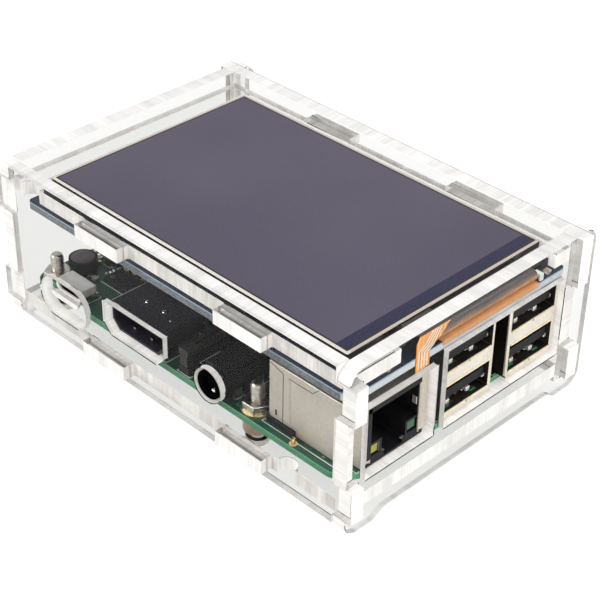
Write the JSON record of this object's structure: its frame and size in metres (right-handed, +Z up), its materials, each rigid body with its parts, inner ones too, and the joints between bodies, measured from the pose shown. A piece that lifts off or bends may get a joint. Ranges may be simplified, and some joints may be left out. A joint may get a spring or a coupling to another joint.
{
  "type": "single board computer",
  "caption": "Single board computer with a touch display plugged on top, in a clear case of slot-and-tab plates.",
  "frame": {"origin": "middle of the bounding box's bottom, on the surface the case's feet stand on", "axes": "+X towards the USB and network end, -Y towards the power, video and audio side, +Z up out of the screen"},
  "size_m": [0.0974, 0.067, 0.0356],
  "materials": {
    "clear_acrylic": "clear faces, frosted laser-cut edges",
    "nickel_screw": "bright zinc plate",
    "brass_spacer": "dull nickel over brass",
    "green_board": "solder mask over glass fibre board",
    "navy_board": "dark solder mask over glass fibre board",
    "chip_black": "moulded epoxy",
    "socket_black": "moulded nylon",
    "latch_dark": "moulded nylon",
    "tin_plate": "tin plated sheet",
    "dark_steel": "black nickel sheet",
    "satin_shield": "satin nickel sheet",
    "bright_shell": "bright nickel sheet",
    "gold_contact": "gold flash",
    "white_ceramic": "unglazed",
    "tan_ceramic": "unglazed, tinned ends",
    "led_yellow": "tinted lens",
    "led_green": "tinted lens",
    "card_black": "smooth moulding",
    "foam_tape": "foam",
    "lcd_frame": "thin pressed frame",
    "screen_glass": "hard coated film over dark glass",
    "orange_flex": "polyimide film with copper tracks"
  },
  "bodies": {
    "case_and_board": {"bottom_plate": "clear_acrylic", "top_frame": "clear_acrylic", "front_plate": "clear_acrylic", "rear_plate": "clear_acrylic", "board_screws": "nickel_screw", "spacers": "brass_spacer", "board_nuts": "nickel_screw", "main_board": "green_board", "processor": "chip_black", "usb_network_chip": "chip_black", "memory_chip": "chip_black", "board_chips": "chip_black", "crystals": "tin_plate", "wireless_antenna": "white_ceramic", "status_leds": "white_ceramic", "capacitors": "tan_ceramic", "power_inductors": "chip_black", "power_socket_shell": "tin_plate", "power_socket_tongue": "socket_black", "video_socket_shell": "dark_steel", "video_socket_tongue": "socket_black", "video_socket_contacts": "gold_contact", "audio_socket_body": "socket_black", "audio_socket_tabs": "tin_plate", "camera_connector": "socket_black", "display_connector": "socket_black", "network_socket_shield": "satin_shield", "network_socket_insert": "socket_black", "network_led_left": "led_yellow", "network_led_right": "led_green", "network_socket_contacts": "gold_contact", "usb_shell_1": "bright_shell", "usb_insulator_1": "socket_black", "usb_contacts_1": "gold_contact", "usb_shell_2": "bright_shell", "usb_insulator_2": "socket_black", "usb_contacts_2": "gold_contact", "header_base": "socket_black", "header_pins": "gold_contact", "card_slot": "tin_plate", "display_socket": "socket_black", "display_board": "navy_board", "display_board_chips": "chip_black", "display_board_parts": "tan_ceramic", "mounting_tape": "foam_tape", "lcd_panel": "lcd_frame", "touch_glass": "screen_glass", "display_flex": "orange_flex", "touch_tail": "orange_flex"},
    "left_end": {"left_end_plate": "clear_acrylic"},
    "right_end": {"right_end_plate": "clear_acrylic"},
    "card": {"memory_card": "card_black"},
    "camera_latch": {"camera_connector_latch": "latch_dark"},
    "display_latch": {"display_connector_latch": "latch_dark"}
  },
  "joints": [
    {"name": "left_end_pull", "type": "slide", "parent": "case_and_board", "child": "left_end", "axis": [-1, 0, 0], "range_m": [0, 0.02]},
    {"name": "right_end_pull", "type": "slide", "parent": "case_and_board", "child": "right_end", "axis": [1, 0, 0], "range_m": [0, 0.02]},
    {"name": "card_slide", "type": "slide", "parent": "case_and_board", "child": "card", "axis": [-1, 0, 0], "range_m": [0, 0.014]},
    {"name": "camera_latch_lift", "type": "slide", "parent": "case_and_board", "child": "camera_latch", "axis": [0, 0, 1], "range_m": [0, 0.0012]},
    {"name": "display_latch_lift", "type": "slide", "parent": "case_and_board", "child": "display_latch", "axis": [0, 0, 1], "range_m": [0, 0.0012]}
  ]
}
